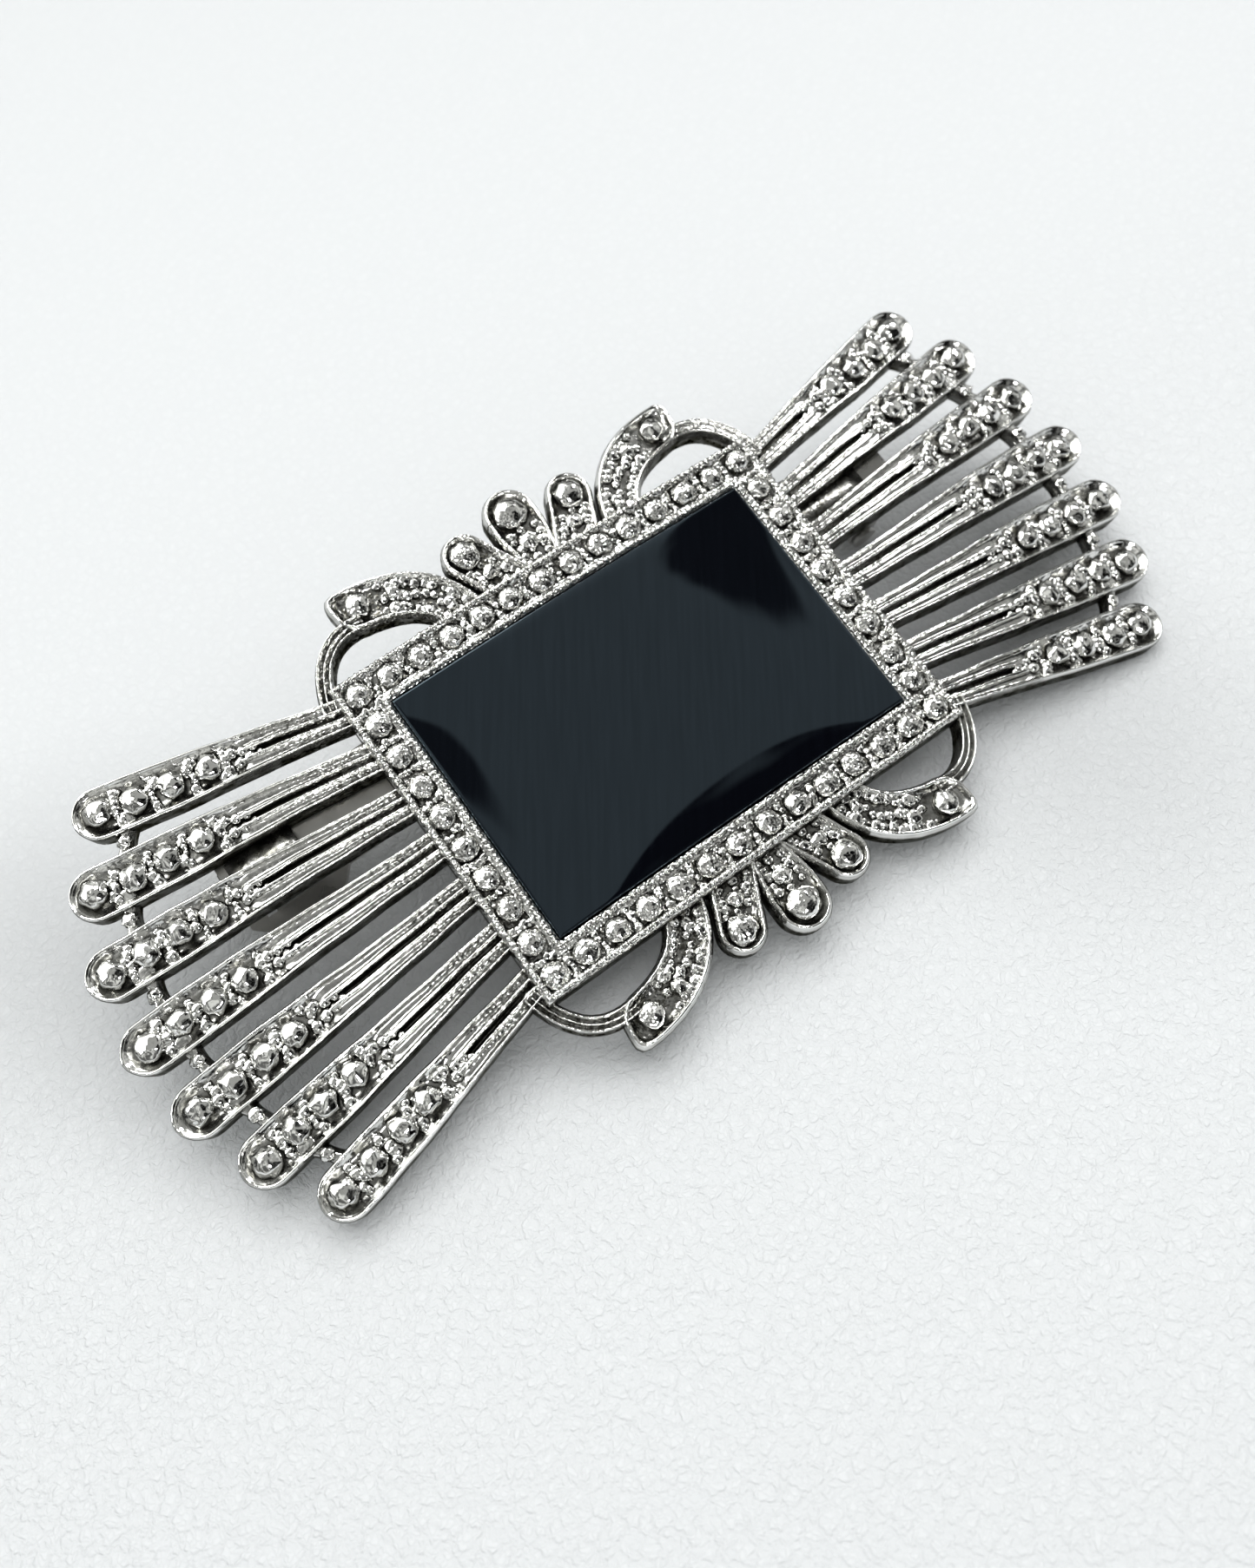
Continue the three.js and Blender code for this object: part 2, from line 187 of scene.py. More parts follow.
# ---- shell builders ----
LEVELS = [0, 0.06, 0.12, 0.18, 0.25, 0.33, 0.41, 0.49, 0.57]  # shares of the half width, middle to edge
LEVELS += [0.64, 0.7, 0.75, 0.8, 0.84, 0.88, 0.92, 0.96, 1.0]
CAP_STEPS = 14
POINT_WIDTH = 0.42  # the angle over which a slightly pointed end is drawn out, in radians
SHOULDER = 0.1  # the steep step below the outline


def lobe(shells, axis, half, relief, point=0.0, point_turn=math.pi / 2):
    """A raised tongue along an axis, with a round or slightly pointed end.

    half is its half width along the axis, and relief(along, edge, middle) gives its height from the
    distance along the axis, to the outline and to the middle line. The end is drawn out by the share
    point, in the direction point_turn away from the left side.
    """
    tangent = np.gradient(axis, axis=0)
    tangent /= np.linalg.norm(tangent, axis=1)[:, None]
    normal = np.stack([-tangent[:, 1], tangent[:, 0]], 1)
    steps = np.linalg.norm(np.diff(axis, axis=0), axis=1)
    run = np.concatenate([[0], np.cumsum(steps)])
    turn = np.linspace(0, math.pi, CAP_STEPS + 1)[1:-1]
    reach = 1 + point * ridge(turn, point_turn, POINT_WIDTH)
    rows = []
    for share in LEVELS:
        left = axis + normal * (half * share)[:, None]
        out = half[-1] * share * reach
        aside = (out * np.cos(turn))[:, None] * normal[-1]
        cap = axis[-1] + aside + (out * np.sin(turn))[:, None] * tangent[-1]
        right = (axis - normal * (half * share)[:, None])[::-1]
        width = np.concatenate([half, np.full(len(turn), half[-1]), half[::-1]])
        along = np.concatenate([run, run[-1] + out * np.sin(turn), run[::-1]])
        edge = width * (1 - share)
        rounding = EDGE_DROP * (1 - smoothstep(0, EDGE_ROUND, edge))
        height = relief(along, edge, width * share) - rounding
        rows.append(np.column_stack([np.vstack([left, cap, right]), height]))
    shoulder = rows[-1].copy()
    shoulder[:, 2] -= SHOULDER
    foot = shoulder.copy()
    foot[:, 2] = 0
    under = rows[0].copy()
    under[:, 2] = 0
    rows += [shoulder, foot, under]
    columns = len(rows[0])
    faces = grid_faces(len(rows), columns)
    root = [r * columns for r in range(len(rows))]
    root += [r * columns + columns - 1 for r in reversed(range(len(rows)))]
    shells.add(np.vstack(rows), faces + [tuple(root)])


def ball(shells, x, y, z, radius, seed, rough, squash=0.66, detail=3):
    """A cast bead: a ball with a wandering, dented surface."""
    mesh = bmesh.new()
    bmesh.ops.create_icosphere(mesh, subdivisions=detail, radius=1)
    points = np.array([v.co for v in mesh.verts])
    faces = [tuple(v.index for v in f.verts) for f in mesh.faces]
    mesh.free()
    dented = wander(points, 0.7 * rough, 3.1, 11.1 * seed)
    points = wander(dented, 1.2 * rough, 1.5, 7.3 * seed)
    points *= radius
    points[:, 2] *= squash
    shells.add(points + np.array([x, y, z]), faces)


def block(shells, low, high, cuts):
    """A box cut along X so that it can bend."""
    xs = np.linspace(low[0], high[0], cuts + 1)
    ring = [(low[1], low[2]), (high[1], low[2]), (high[1], high[2]), (low[1], high[2])]
    points = [(x, y, z) for x in xs for y, z in ring]
    faces = grid_faces(len(xs), 4, wrap=True)
    last = 4 * cuts
    faces += [(3, 2, 1, 0), (last, last + 1, last + 2, last + 3)]
    shells.add(points, faces)


def scatter(count, seed):
    """Repeatable numbers between 0 and 1."""
    return np.random.default_rng(seed).random(count)


# ---- the fans ----
def rib_line(i):
    """Root, direction and length of rib i's middle line."""
    root = np.array([FRAME_X, i * RIB_PITCH])
    along = np.array([FAN_POINT, root[1]])
    along /= np.linalg.norm(along)
    start = root - np.array([TIP_CENTRE, 0])
    radius = HALF_LENGTH - TIP_CENTRE - RIB_TIP
    b = start @ along
    length = -b + math.sqrt(b * b - start @ start + radius**2)
    return root, along, length


def dished(edge):
    """A thin rim whose inner side slopes down to the floor round the beads; 1 at the rim, 0 below."""
    return np.maximum(ridge(edge, 0.22, 0.2), 0.8 * (1 - smoothstep(0.15, 1.1, edge)))


def rib_relief(beads_from, inside):
    """Two ridged bars with a groove between them, opening into a dish for the beads."""

    def relief(along, edge, middle):
        beaded = smoothstep(beads_from - 1.2, beads_from + 0.3, along - inside)
        share = smoothstep(0, beads_from, along - inside)
        bars = np.maximum(ridge(edge, 0.22, 0.19), ridge(middle, 0.4, 0.17))
        groove = (0.3 + 0.6 * share) * ridge(middle, 0, 0.1 + 0.1 * share)
        stem = 0.2 + 0.8 * bars - groove
        return RELIEF - RECESS * (1 - stem - beaded * (dished(edge) - stem))

    return relief


def rib(shells, i, seed):
    """One finger of a fan, swaying a little, that starts inside the frame."""
    root, along, length = rib_line(i)
    inside = 1.5
    s = np.linspace(-inside, length, 60)
    axis = root + s[:, None] * along
    side = np.array([-along[1], along[0]])
    sway = 0.05 * np.sin(s * 0.23 + seed) + 0.015 * np.sin(s * 1.1 + 2 * seed)
    axis = axis + sway[:, None] * side
    half = RIB_ROOT + (RIB_TIP - RIB_ROOT) * smoothstep(-4, length * 0.86, s)
    swell = 1.03 + 0.06 * smoothstep(0.3 * length, length, s)
    half = half * (swell + 0.008 * np.sin(s * 0.9 + 3 * seed))
    beads_from = length - BEADS_ON_RIB * BEAD_PITCH + 0.6
    lobe(shells, axis, half, rib_relief(beads_from, inside), point=0.05 + 0.04 * math.sin(5 * seed))
    rib_beads(shells, root, along, side, length, seed)


def rib_beads(shells, root, along, side, length, seed):
    """Four beads from the tip inwards, with small grains crowded between and beyond them."""
    jitter = scatter(120, 40 + seed) - 0.5
    for k in range(BEADS_ON_RIB):
        s = length + 0.05 - k * BEAD_PITCH
        p = root + along * (s + 0.4 * jitter[k]) + side * 0.3 * jitter[k + 4]
        ball(shells, p[0], p[1], FLOOR + 0.3, BEAD + 0.08 - 0.03 * k, seed * 9 + k, rough=0.19)
        for j, across in enumerate((-1.15, -0.7, -0.2, 0.3, 0.75, 1.15)):
            r = 0.47 + 0.36 * jitter[8 + 6 * k + j]
            q = root + along * (s - BEAD_PITCH / 2 + 0.7 * jitter[32 + 6 * k + j]) + side * across
            ball(shells, q[0], q[1], FLOOR + 0.1, r, seed * 31 + 6 * k + j, rough=0.3, detail=2)
    for j in range(6):
        s = length - BEADS_ON_RIB * BEAD_PITCH + 0.9 - 0.45 * j
        q = root + along * s + side * (0.55 * (-1) ** j + 0.4 * jitter[60 + j]) * (1 - 0.1 * j)
        ball(shells, q[0], q[1], FLOOR + 0.2, 0.55 - 0.04 * j, seed * 17 + j, rough=0.2, detail=2)


def strut(shells, i):
    """A low bar between rib i and the next, flared at both ends, with a lump on it."""
    from_tip = 2.2
    ends = []
    for root, along, length in (rib_line(i), rib_line(i + 1)):
        ends.append(root + along * (length - from_tip))
    a, b = ends
    middle = (a + b) / 2
    along = (b - a) / np.linalg.norm(b - a)
    t = np.linspace(-1, 1, 16)
    axis = middle + 1.8 * t[:, None] * along
    lobe(shells, axis, 0.55 + 0.45 * t**2, lambda s, edge, m: 1.5 - 0.4 * ridge(edge, 0, 0.2))
    ball(shells, middle[0], middle[1], 1.45, 0.62, seed=i, rough=0.3)


def fan():
    """The right fan: its ribs and the struts between them."""
    shells = Shells()
    for i in range(-OUTER_RIB, OUTER_RIB + 1):
        rib(shells, i, i + OUTER_RIB + 1)
    for i in range(-OUTER_RIB, OUTER_RIB):
        strut(shells, i)
    return shells


# ---- the crests ----
def bezier(a, b, c, count):
    """Points along a curve from a to c that leaves and arrives in the direction of b."""
    t = np.linspace(0, 1, count)[:, None]
    return (1 - t) ** 2 * np.array(a) + 2 * t * (1 - t) * np.array(b) + t**2 * np.array(c)


def rimmed(along, edge, middle):
    """A thick rounded rim with a shallow slope inside it."""
    rim = np.maximum(ridge(edge, 0.36, 0.3), 0.5 * (1 - smoothstep(0.4, 1.1, edge)))
    return RELIEF - RECESS * (1 - rim)


def petal(shells, foot, head, radius, foot_half, seed):
    """A teardrop with a big bead in its head, a smaller one below it and grains down to the frame."""
    foot = np.array(foot)
    head = np.array(head)
    t = np.linspace(0, 1, 24)
    axis = foot + t[:, None] * (head - foot)
    half = foot_half + (radius - foot_half) * smoothstep(0.0, 0.8, t)
    lobe(shells, axis, half, rimmed)
    ball(shells, head[0], head[1], FLOOR + 0.3, radius * 0.62, seed, rough=0.12)
    below = foot + 0.5 * (head - foot)
    ball(shells, below[0], below[1], FLOOR + 0.2, radius * 0.36, seed + 1, rough=0.16)
    jitter = scatter(80, seed) - 0.5
    for k in range(18):
        share = 0.1 + 0.6 * (k // 3) / 5
        across = (k % 3 - 1) * (foot_half + (radius - foot_half) * share) * 0.55
        p = foot + share * (head - foot)
        x = p[0] + across + 0.35 * jitter[k]
        y = p[1] + 0.35 * jitter[k + 20]
        ball(shells, x, y, FLOOR + 0.12, 0.4 + 0.25 * jitter[k + 40], seed * 5 + k, 0.2, detail=2)


def leaf(shells, seed):
    """A broad curled leaf with three beads, three rows of grains and a sharp outer corner."""
    count = 40
    axis = bezier((8.1, FRAME_Y - 0.8), (9.3, 20.0), (15.4, 20.75), count)
    t = np.linspace(0, 1, count)
    half = 1.95 + 0.2 * smoothstep(0, 0.85, t)
    lobe(shells, axis, half, rimmed, point=0.3, point_turn=0.95)
    ball(shells, 15.2, 20.85, FLOOR + 0.3, BEAD, seed, rough=0.16)
    ball(shells, 12.1, 20.3, FLOOR + 0.25, 0.72, seed + 1, rough=0.16)
    ball(shells, 12.7, 18.9, FLOOR + 0.25, 0.66, seed + 2, rough=0.16)
    jitter = scatter(120, seed + 3) - 0.5
    grains = 33
    for k in range(grains):
        i = int((0.06 + 0.8 * k / grains) * (count - 1))
        tangent = axis[min(i + 1, count - 1)] - axis[i]
        tangent /= np.linalg.norm(tangent)
        spread = half[i] * 0.55 * (k % 3 - 1)
        x = axis[i][0] - tangent[1] * spread + 0.4 * jitter[k]
        y = axis[i][1] + tangent[0] * spread + 0.4 * jitter[k + 40]
        ball(shells, x, y, FLOOR + 0.1, 0.48 + 0.36 * jitter[k + 80], seed * 3 + k, 0.3, detail=2)


def loop(shells):
    """The strap from the leaf's tip to the frame's corner, with two ridges along it."""
    axis = bezier((15.6, 19.5), (20.4, 20.3), (22.0, 14.4), 36)

    def relief(along, edge, middle):
        return 1.3 + 0.6 * np.maximum(ridge(edge, 0.28, 0.2), 0.8 * ridge(middle, 0.0, 0.14))

    lobe(shells, axis, np.full(36, 0.82), relief)


def crest():
    """The right half of one crest, without the middle petal."""
    shells = Shells()
    petal(shells, (3.2, FRAME_Y - 0.9), (5.35, 19.6), 2.1, 2.2, 11)
    leaf(shells, 21)
    loop(shells)
    return shells


def middle_petal():
    """The tallest petal, on the crest's middle line."""
    shells = Shells()
    petal(shells, (0, FRAME_Y - 0.9), (0, 20.75), 2.4, 1.75, 5)
    return shells


# ---- the frame ----
FRAME_PROFILE = [  # inset from the outer edge, height
    (0.0, 0.0),
    (0.0, 1.5),
    (0.06, 2.0),
    (0.18, 2.36),
    (0.32, 2.5),
    (0.5, 2.56),
    (0.66, 2.48),
    (0.8, 2.25),
    (0.92, 2.02),
    (1.1, 1.9),
    (1.85, 1.86),
    (2.6, 1.9),
    (2.8, 2.02),
    (2.92, 2.3),
    (3.05, 2.2),
    (3.2, 2.28),
    (3.5, 2.3),
    (3.7, 2.3),
    (3.75, 2.24),
    (3.75, 0.5),
    (2.2, 0.5),
    (2.2, 0.0),
]


def frame_ring(inset, height, across, down):
    """A rectangle of points inside the frame's outline, at one height."""
    x = FRAME_X - inset
    y = FRAME_Y - inset
    t = np.linspace(0, 1, across, endpoint=False)
    u = np.linspace(0, 1, down, endpoint=False)
    sides = [
        np.column_stack([-x + 2 * x * t, np.full(across, -y)]),
        np.column_stack([np.full(down, x), -y + 2 * y * u]),
        np.column_stack([x - 2 * x * t, np.full(across, y)]),
        np.column_stack([np.full(down, -x), y - 2 * y * u]),
    ]
    flat = np.vstack(sides)
    return np.column_stack([flat, np.full(len(flat), height)])


def frame_shell(shells):
    """The frame's profile carried round its four sides."""
    rings = [frame_ring(inset, height, 90, 66) for inset, height in FRAME_PROFILE]
    rings.append(rings[0])
    columns = len(rings[0])
    faces = grid_faces(len(rings) - 1, columns, wrap=True)
    last = (len(rings) - 2) * columns
    for c in range(columns):
        d = (c + 1) % columns
        faces.append((last + c, last + d, d, c))
    shells.add(np.vstack(rings[:-1]), faces)


def bead_spots():
    """Centres of the frame's beads in order round it."""
    channel = 1.85
    x = FRAME_X - channel
    y = FRAME_Y - channel
    long_side = np.linspace(-x, x, 14)
    short_side = np.linspace(-y, y, 10)
    spots = [(px, -y) for px in long_side[:-1]]
    spots += [(x, py) for py in short_side[:-1]]
    spots += [(px, y) for px in long_side[:0:-1]]
    spots += [(-x, py) for py in short_side[:0:-1]]
    return np.array(spots)


def frame_beads(shells):
    """Beads round the frame's channel, with small grains crowded between them."""
    spots = bead_spots()
    jitter = scatter(1400, 3) - 0.5
    for k, spot in enumerate(spots):
        x, y = spot + 0.14 * jitter[2 * k : 2 * k + 2]
        ball(shells, x, y, 2.2, BEAD + 0.08 * jitter[k + 200], k, rough=0.13)
        following = spots[(k + 1) % len(spots)]
        along = following - spot
        along /= np.linalg.norm(along)
        side = np.array([-along[1], along[0]])
        between = (spot + following) / 2
        for j, across in enumerate((-1.15, -0.75, -0.3, 0.3, 0.75, 1.15)):
            r = 0.4 + 0.26 * jitter[300 + 6 * k + j]
            p = between + side * across + along * 0.5 * jitter[700 + 6 * k + j]
            ball(shells, p[0], p[1], 2.0, r, k * 5 + j, rough=0.25, detail=2)


def milgrain(shells):
    """Fine grains along the frame's outer ridge and round its inner lip: inset, height, radius, pitch."""
    outer = (0.48, FRAME_TOP - 0.24, 0.28, 0.52)
    inner = (3.4, 2.3, 0.3, 0.47)
    for inset, z, radius, pitch in (outer, inner):
        x = FRAME_X - inset
        y = FRAME_Y - inset
        for side in (-1, 1):
            for px in np.arange(-x, x, pitch):
                ball(shells, px, side * y, z, radius, px, rough=0.25, squash=1.0, detail=1)
            for py in np.arange(-y, y, pitch):
                ball(shells, side * x, py, z, radius, py, rough=0.25, squash=1.0, detail=1)


def frame_shells():
    """The frame with its beads, and the tray under the panel."""
    shells = Shells()
    frame_shell(shells)
    tray_x = PANEL_X + 0.6
    tray_y = PANEL_Y + 0.7
    tray_under = 0.5
    tray_top = 1.1
    block(shells, (-tray_x, -tray_y, tray_under), (tray_x, tray_y, tray_top), 24)
    frame_beads(shells)
    milgrain(shells)
    return shells


def seats(shells):
    """The webs in the fans' slots that the clip is fixed to."""
    for start, end in ((FRAME_X - 1, HINGE_SEAT_END), CATCH_SEAT):
        block(shells, (start, SLOT_Y - SEAT_HALF, 0), (end, SLOT_Y + SEAT_HALF, SEAT_TOP), 6)


# ---- from shells to objects ----
def object_of(name, shells, material):
    """Bends the shells round the arch and makes one smooth-shaded object of them."""
    points = np.vstack(shells.points)
    mesh = bpy.data.meshes.new(name)
    mesh.from_pydata((bend(points) * MM).tolist(), [], shells.faces)
    work = bmesh.new()
    work.from_mesh(mesh)
    bmesh.ops.remove_doubles(work, verts=work.verts, dist=1e-7)
    bmesh.ops.dissolve_degenerate(work, edges=work.edges, dist=1e-8)
    bmesh.ops.recalc_face_normals(work, faces=work.faces)
    work.to_mesh(mesh)
    work.free()
    obj = bpy.data.objects.new(name, mesh)
    bpy.context.scene.collection.objects.link(obj)
    obj.data.polygons.foreach_set("use_smooth", [True] * len(obj.data.polygons))
    obj.data.materials.clear()
    obj.data.materials.append(material)
    return obj


def mark_finish(obj):
    """Stores how far each point lies below the rims, and how finely grained the casting is there."""
    mesh = obj.data
    points = np.zeros(len(mesh.vertices) * 3)
    mesh.vertices.foreach_get("co", points)
    points = points.reshape(-1, 3) / MM
    height = np.hypot(points[:, 0], points[:, 2] + ARCH_RADIUS) - ARCH_RADIUS
    outside = np.maximum(abs(points[:, 0]) - FRAME_X, abs(points[:, 1]) - FRAME_Y)
    frame_rim = FRAME_TOP - 0.3
    below = np.where(outside < 0, frame_rim, RELIEF) - height
    smoother = np.where((points[:, 0] > 0) & (outside > 0), 0.3, 1.0)  # the right fan is cast cleaner
    grained = smoothstep(-10.0, -1.0, -outside) * smoother
    for name, values in (("recess", below), ("grained", grained)):
        attribute = mesh.attributes.new(name, "FLOAT", "POINT")
        attribute.data.foreach_set("value", values.astype(np.float32))


# ---- materials ----
class Nodes:
    """Short names for building a node tree; inputs may be values or sockets to link."""

    def __init__(self, tree):
        self.tree = tree
        self.tree.nodes.clear()

    def add(self, kind, inputs=None, **settings):
        """A new node with its settings made and its inputs filled."""
        node = self.tree.nodes.new(kind)
        for key, value in settings.items():
            setattr(node, key, value)
        for key, value in (inputs or {}).items():
            if isinstance(value, bpy.types.NodeSocket):
                self.tree.links.new(value, node.inputs[key])
            else:
                node.inputs[key].default_value = value
        return node

    def math(self, operation, a, b):
        """Two numbers added, multiplied, subtracted or compared."""
        return self.add("ShaderNodeMath", {0: a, 1: b}, operation=operation).outputs[0]

    def range(self, value, from_low, from_high, to_low=0.0, to_high=1.0):
        """A smooth step from one value to another."""
        inputs = {"Value": value, "From Min": from_low, "From Max": from_high}
        inputs.update({"To Min": to_low, "To Max": to_high})
        return self.add("ShaderNodeMapRange", inputs, interpolation_type="SMOOTHSTEP").outputs[0]

    def mix(self, share, a, b):
        """The colour a, turning into b as the share grows."""
        return self.add("ShaderNodeMix", {0: share, 6: a, 7: b}, data_type="RGBA").outputs[2]

    def noise(self, scale, detail):
        """Noise in the object's own space; the scale counts per metre."""
        place = self.add("ShaderNodeTexCoord").outputs["Object"]
        inputs = {"Vector": place, "Scale": scale, "Detail": detail}
        return self.add("ShaderNodeTexNoise", inputs).outputs["Fac"]

    def dot(self, vector, axis):
        """How far a vector points along an axis."""
        node = self.add("ShaderNodeVectorMath", {0: vector, 1: axis}, operation="DOT_PRODUCT")
        return node.outputs["Value"]


def new_material(name):
    """An empty node material and the short names to fill it with."""
    material = bpy.data.materials.new(name)
    material.use_nodes = True
    return material, Nodes(material.node_tree)


def finish_material(nodes, surface):
    """Joins a shader to the material's output."""
    nodes.add("ShaderNodeOutputMaterial", {"Surface": surface})


def patina_and_painted_shade(n, below, grained):
    """How dark the plating's colour is made: patina on hollow floors and in specks, and patina with painted
    shade in crevices and down the walls.
    """
    occlusion = n.add("ShaderNodeAmbientOcclusion", {"Distance": 0.8 * MM}, samples=6).outputs["AO"]
    # painted shade, partly the casting's own oxide: the colour darkens where ambient occlusion finds
    # crevices
    crevice_oxide_and_shade = n.range(occlusion, 0.1, 0.55, 0.7, 0.0)
    floor = n.range(below, 0.33, 0.88, 0.0, 0.95)
    specks = n.range(n.noise(2600, 2), 0.48, 0.62, 0.0, 0.6)
    speckled = n.math("MULTIPLY", specks, n.range(grained, 0.0, 1.0, 0.05, 1.0))
    recess_patina_and_shade = n.math("ADD", n.math("ADD", crevice_oxide_and_shade, floor), speckled)
    upward = n.dot(n.add("ShaderNodeTexCoord").outputs["Normal"], (0, 0, 1))
    # patina and painted shade: steep walls, which face sideways rather than up to the light, are darkened
    wall = n.math("MULTIPLY", n.range(upward, 0.15, 0.6, 0.95, 0.0), n.range(below, 0.02, 0.2))
    toned_and_shaded = n.math("MAXIMUM", recess_patina_and_shade, wall)
    patches = n.range(n.noise(900, 3), 0.35, 0.65, 0.78, 1.0)
    return n.add("ShaderNodeClamp", {0: n.math("MULTIPLY", toned_and_shaded, patches)}).outputs[0]


def cast_surface(n, grained):
    """The casting's bumps: soft ripples, with pebbles on them where it is grained."""
    depth = 0.07 * MM
    ripples = {"Strength": 0.7, "Distance": depth, "Height": n.noise(1300, 1)}
    rippled = n.add("ShaderNodeBump", ripples).outputs[0]
    place = n.add("ShaderNodeTexCoord").outputs["Object"]
    pebbles = n.add("ShaderNodeTexVoronoi", {"Vector": place, "Scale": 3600.0}, feature="SMOOTH_F1")
    height = n.math("MULTIPLY", pebbles.outputs["Distance"], n.range(grained, 0.0, 1.0, -0.15, -1.4))
    grains = {"Strength": 0.9, "Distance": depth, "Height": height, "Normal": rippled}
    return n.add("ShaderNodeBump", grains).outputs[0]


def silver_material():
    """Bright plated casting, with patina and painted shade darkening its recesses and outer walls."""
    material, n = new_material("antiqued_silver_with_painted_shade")
    below = n.add("ShaderNodeAttribute", attribute_name="recess").outputs["Fac"]
    grained = n.add("ShaderNodeAttribute", attribute_name="grained").outputs["Fac"]
    patina_and_shade = patina_and_painted_shade(n, below, grained)
    # the colour, roughness and reflection tint darken with the patina and with the painted shade in crevices
    # and down the walls
    colour = n.mix(patina_and_shade, (0.92, 0.92, 0.90, 1), (0.085, 0.083, 0.07, 1))
    rough = n.math("ADD", n.range(n.noise(1400, 3), 0.3, 0.7, 0.05, 0.15), n.math("MULTIPLY", patina_and_shade, 0.2))
    edge_tint = n.mix(patina_and_shade, (1, 1, 1, 1), (0.14, 0.14, 0.12, 1))
    inputs = {"Base Color": colour, "Metallic": 1.0, "Roughness": rough, "Normal": cast_surface(n, grained)}
    inputs["Specular Tint"] = edge_tint
    finish_material(n, n.add("ShaderNodeBsdfPrincipled", inputs).outputs[0])
    return material


def panel_material():
    """Polished black with the faintest polishing streaks."""
    material, n = new_material("polished_black")
    place = n.add("ShaderNodeTexCoord").outputs["Object"]
    turned = n.add("ShaderNodeMapping", {"Vector": place, "Rotation": (0, 0, 0.6)}).outputs[0]
    stretched = n.add("ShaderNodeMapping", {"Vector": turned, "Scale": (2600, 140, 300)}).outputs[0]
    streak = n.add("ShaderNodeTexNoise", {"Vector": stretched, "Scale": 1.0, "Detail": 3.0}).outputs["Fac"]
    rough = n.range(streak, 0.3, 0.7, 0.02, 0.05)
    colour = n.mix(streak, (0.0015, 0.0018, 0.003, 1), (0.003, 0.0036, 0.006, 1))
    sheen = n.range(streak, 0.25, 0.75, 0.47, 0.53)
    inputs = {"Base Color": colour, "Roughness": rough, "IOR": 1.82, "Specular IOR Level": sheen}
    inputs["Specular Tint"] = (0.62, 0.83, 1.0, 1)
    finish_material(n, n.add("ShaderNodeBsdfPrincipled", inputs).outputs[0])
    return material


def steel_material(name, colour, low, high):
    """Pressed strip with fine rolling lines along it and smudges; low and high are its roughness."""
    material, n = new_material(name)
    place = n.add("ShaderNodeTexCoord").outputs["Object"]
    stretched = n.add("ShaderNodeMapping", {"Vector": place, "Scale": (300, 6000, 6000)}).outputs[0]
    lines = n.add("ShaderNodeTexNoise", {"Vector": stretched, "Scale": 1.0, "Detail": 4.0}).outputs["Fac"]
    smudge = n.noise(260, 4)
    rough = n.math("ADD", n.range(smudge, 0.3, 0.7, low, high), n.math("MULTIPLY", lines, 0.06))
    dulled = tuple(0.6 * c for c in colour[:3]) + (1,)
    tint = n.mix(n.range(smudge, 0.45, 0.8, 0.0, 0.5), colour, dulled)
    bump = n.add("ShaderNodeBump", {"Strength": 0.2, "Distance": 0.01 * MM, "Height": lines}).outputs[0]
    inputs = {"Base Color": tint, "Metallic": 1.0, "Roughness": rough, "Normal": bump}
    finish_material(n, n.add("ShaderNodeBsdfPrincipled", inputs).outputs[0])
    return material


# ---- pieces ----
def build_casting(material):
    """The whole ornament in one piece: two fans, two crests, the frame and the clip's seats."""
    whole = Shells()
    fans = fan()
    fans.mirror(0)
    whole.extend(fans)
    crests = crest()
    crests.mirror(0)
    crests.extend(middle_petal())
    crests.mirror(1)
    whole.extend(crests)
    whole.extend(frame_shells())
    seats(whole)
    whole.points = [wander(np.vstack(whole.points), 0.022, 1.1, 2.0)]
    casting = object_of("ornament_relief", whole, material)
    mark_finish(casting)
    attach(casting, "ornament")
    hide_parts("ornament_casting")
    return casting


def cushion():
    """Top points of the panel, row by row, closest together at its edges, and the size of that grid."""
    across, down = 72, 50
    fillet = 0.12
    x = PANEL_X * np.sin(np.linspace(-1, 1, across) * math.pi / 2)
    y = PANEL_Y * np.sin(np.linspace(-1, 1, down) * math.pi / 2)
    gx, gy = np.meshgrid(x, y)
    rise = (1 - (gx / PANEL_X) ** 4) * (1 - (gy / PANEL_Y) ** 4)
    from_edge = np.minimum(PANEL_X - abs(gx), PANEL_Y - abs(gy))
    round_off = fillet * (1 - np.clip(from_edge / fillet, 0, 1)) ** 2
    height = PANEL_EDGE + PANEL_DOME * rise - round_off
    return np.column_stack([gx.ravel(), gy.ravel(), height.ravel()]), across, down


def build_panel(material):
    """A cushion-shaped slab with softened upper edges and straight sides."""
    top, across, down = cushion()
    under = top.copy()
    under[:, 2] = PANEL_UNDER
    count = across * down
    faces = grid_faces(down, across)
    faces += [tuple(i + count for i in face[::-1]) for face in grid_faces(down, across)]
    border = [i for i in range(across)]
    border += [row * across + across - 1 for row in range(1, down)]
    border += [count - across + i for i in range(across - 2, -1, -1)]
    border += [row * across for row in range(down - 2, 0, -1)]
    for a, b in zip(border, border[1:] + border[:1]):
        faces.append((b, a, a + count, b + count))
    shells = Shells()
    shells.add(np.vstack([top, under]), faces)
    panel = object_of("black_panel_polished", shells, material)
    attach(panel, "ornament")
    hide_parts("black_panel")


def dress(node, material, bevel):
    """Gives a CAD node its finish, smooth rounds and softened edges."""
    obj = frame["nodes"][node]
    obj.data.materials.clear()
    obj.data.materials.append(material)
    obj.data.polygons.foreach_set("use_smooth", [True] * len(obj.data.polygons))
    soft = obj.modifiers.new("edges", "BEVEL")
    soft.width = bevel * MM
    soft.segments = 2
    soft.limit_method = "ANGLE"
    soft.angle_limit = math.radians(35)
    soft.harden_normals = True


